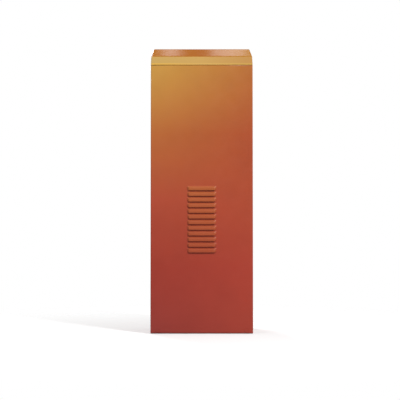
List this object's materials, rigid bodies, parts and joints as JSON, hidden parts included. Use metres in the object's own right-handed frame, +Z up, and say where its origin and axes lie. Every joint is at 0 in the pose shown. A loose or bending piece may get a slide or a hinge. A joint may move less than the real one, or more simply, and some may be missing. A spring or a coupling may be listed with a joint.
{
  "type": "parking barrier upright",
  "caption": "Sheet-steel barrier upright with a louvred front door and bevelled lid, enclosing the hydraulic plunger-and-rocker drive that turns a rear boom flange.",
  "frame": {"origin": "centre of the four anchor slots on the underside of the base plate", "axes": "+Z up along the upright, +X to the right of the door seen from the front, -Y out of the door, +Y out of the boom side"},
  "size_m": [0.385, 0.324, 1.078],
  "materials": {
    "orange_paint": "polyester powder coat, fine orange peel, semi-gloss",
    "lid_paint": "polyester powder coat, fine orange peel, semi-gloss",
    "zinc_plate": "zinc-plated sheet steel, passivated",
    "base_zinc": "hot-dip galvanised plate",
    "fasteners": "zinc-plated screws and nuts",
    "dome_bolts": "zinc-plated bolts with spacer sleeves",
    "painted_screws": "machine screws with painted heads",
    "sponge_rubber": "closed-cell sponge strip",
    "buffer_rubber": "moulded stop buffer",
    "cable_rubber": "round rubber-sheathed lead",
    "lock_zinc": "nickel-plated die-cast lock",
    "bearing_iron": "grey iron flange bearing with a bronze liner",
    "rocker_steel": "grey primed steel",
    "ground_steel": "turned and ground steel",
    "hard_chrome": "hard-chromed rod, ground",
    "key_steel": "yellow-passivated key steel",
    "flag_steel": "yellow-passivated steel disc",
    "sensor_brass": "nickel-brass sensor barrel with a plastic face",
    "cylinder_paint": "black enamelled honed tube",
    "gland_bronze": "bronze gland nut",
    "clamp_aluminium": "sawn aluminium bar",
    "spring_red": "enamelled spring wire",
    "tank_aluminium": "cast aluminium oil tank",
    "block_aluminium": "milled aluminium block",
    "screw_blue": "blue anodised adjusting screw",
    "screw_red": "red anodised adjusting screw",
    "filler_plastic": "moulded filler cap with a dipstick",
    "breather_brass": "brass breather",
    "motor_paint": "blue-grey motor enamel",
    "fan_plastic": "moulded fan",
    "cowl_paint": "pressed steel cowl, enamelled",
    "lock_plastic": "moulded lock surround",
    "box_plastic": "moulded grey enclosure",
    "cover_clear": "clear moulded cover",
    "board_green": "solder-resist coated circuit board",
    "board_parts": "moulded components and terminals",
    "gland_plastic": "moulded cable gland",
    "flange_steel": "machined steel flange"
  },
  "bodies": {
    "upright": {"cabinet_shell": "orange_paint", "base_plate": "base_zinc", "frame_plate": "zinc_plate", "frame_bolts": "dome_bolts", "lid_seal": "sponge_rubber", "lock_keeper": "zinc_plate", "bearing_bridge": "zinc_plate", "bearing_front": "bearing_iron", "bearing_rear": "bearing_iron", "bearing_bolts": "fasteners", "stop_bolts": "fasteners", "stop_buffers": "buffer_rubber", "sensor_bracket": "zinc_plate", "limit_sensors": "sensor_brass", "cylinder_open": "cylinder_paint", "cylinder_close": "cylinder_paint", "cylinder_glands": "gland_bronze", "cylinder_clamp": "clamp_aluminium", "balance_spring": "spring_red", "spring_adjuster": "fasteners", "support_shelf": "zinc_plate", "oil_tank": "tank_aluminium", "manifold_block": "block_aluminium", "breather_valve": "breather_brass", "motor_body": "motor_paint", "fan_cowl": "cowl_paint", "release_housing": "lock_plastic", "control_bracket": "zinc_plate", "control_box": "box_plastic", "control_cover": "cover_clear", "circuit_board": "board_green", "board_parts": "board_parts", "cable_glands": "gland_plastic", "cable_leads": "cable_rubber"},
    "door": {"door_panel": "orange_paint", "door_seal": "sponge_rubber", "door_screws": "painted_screws"},
    "lid": {"lid_cover": "lid_paint", "lid_lock_body": "lock_zinc"},
    "lid_lock": {"lid_lock_plug": "lock_zinc", "lid_lock_cam": "fasteners"},
    "boom_shaft": {"drive_shaft": "ground_steel", "rocker_arm": "rocker_steel", "roller_pins": "ground_steel", "shaft_keys": "key_steel", "stop_lever": "rocker_steel", "limit_flags": "flag_steel", "boom_flange": "flange_steel", "flange_nut": "fasteners"},
    "open_roller": {"roller_open": "hard_chrome"},
    "close_roller": {"roller_close": "hard_chrome"},
    "opening_plunger": {"plunger_open": "hard_chrome"},
    "closing_plunger": {"plunger_close": "hard_chrome"},
    "motor_shaft": {"motor_rotor": "ground_steel", "cooling_fan": "fan_plastic"},
    "open_flow_screw": {"flow_screw_open": "screw_blue"},
    "close_flow_screw": {"flow_screw_close": "screw_red"},
    "filler": {"filler_plug": "filler_plastic"},
    "release": {"release_spindle": "ground_steel"},
    "flap": {"release_flap": "lock_plastic"}
  },
  "joints": [
    {"name": "boom_turn", "type": "hinge", "parent": "upright", "child": "boom_shaft", "pos_m": [0, 0, 0.86], "axis": [0, -1, 0], "range_deg": [0, 90], "deforming": ["balance_spring"]},
    {"name": "opening_plunger_slide", "type": "slide", "parent": "upright", "child": "opening_plunger", "axis": [0, 0, 1], "range_m": [0, 0.131]},
    {"name": "closing_plunger_slide", "type": "slide", "parent": "upright", "child": "closing_plunger", "axis": [0, 0, 1], "range_m": [-0.131, 0]},
    {"name": "open_roller_spin", "type": "hinge", "parent": "boom_shaft", "child": "open_roller", "pos_m": [0.06364, 0.058, 0.79636], "axis": [0, 1, 0], "continuous": true},
    {"name": "close_roller_spin", "type": "hinge", "parent": "boom_shaft", "child": "close_roller", "pos_m": [-0.06364, 0.058, 0.92364], "axis": [0, 1, 0], "continuous": true},
    {"name": "motor_spin", "type": "hinge", "parent": "upright", "child": "motor_shaft", "pos_m": [0.028, -0.04, 0.4], "axis": [0, 0, 1], "continuous": true},
    {"name": "open_flow_turn", "type": "hinge", "parent": "upright", "child": "open_flow_screw", "pos_m": [-0.062, -0.09, 0.2825], "axis": [0, -1, 0], "range_deg": [-360, 360]},
    {"name": "close_flow_turn", "type": "hinge", "parent": "upright", "child": "close_flow_screw", "pos_m": [-0.032, -0.09, 0.2825], "axis": [0, -1, 0], "range_deg": [-360, 360]},
    {"name": "filler_lift", "type": "slide", "parent": "upright", "child": "filler", "axis": [0, 0, 1], "range_m": [0, 0.125]},
    {"name": "release_turn", "type": "hinge", "parent": "upright", "child": "release", "pos_m": [0.055, 0.14, 0.2825], "axis": [0, 1, 0], "range_deg": [0, 90]},
    {"name": "flap_swing", "type": "hinge", "parent": "upright", "child": "flap", "pos_m": [0.055, 0.1485, 0.311], "axis": [1, 0, 0], "range_deg": [0, 100]},
    {"name": "lid_lift", "type": "slide", "parent": "upright", "child": "lid", "axis": [0, 0, 1], "range_m": [0, 0.12]},
    {"name": "lid_lock_turn", "type": "hinge", "parent": "lid", "child": "lid_lock", "pos_m": [0, 0.11, 1.029], "axis": [0, -1, 0], "range_deg": [0, 90]},
    {"name": "door_pull", "type": "slide", "parent": "upright", "child": "door", "axis": [0, -1, 0], "range_m": [0, 0.15]}
  ],
  "couplings": [
    {"joint": "opening_plunger_slide", "follows": "boom_turn", "m_per_rad": 0.08325},
    {"joint": "closing_plunger_slide", "follows": "boom_turn", "m_per_rad": -0.08325}
  ]
}
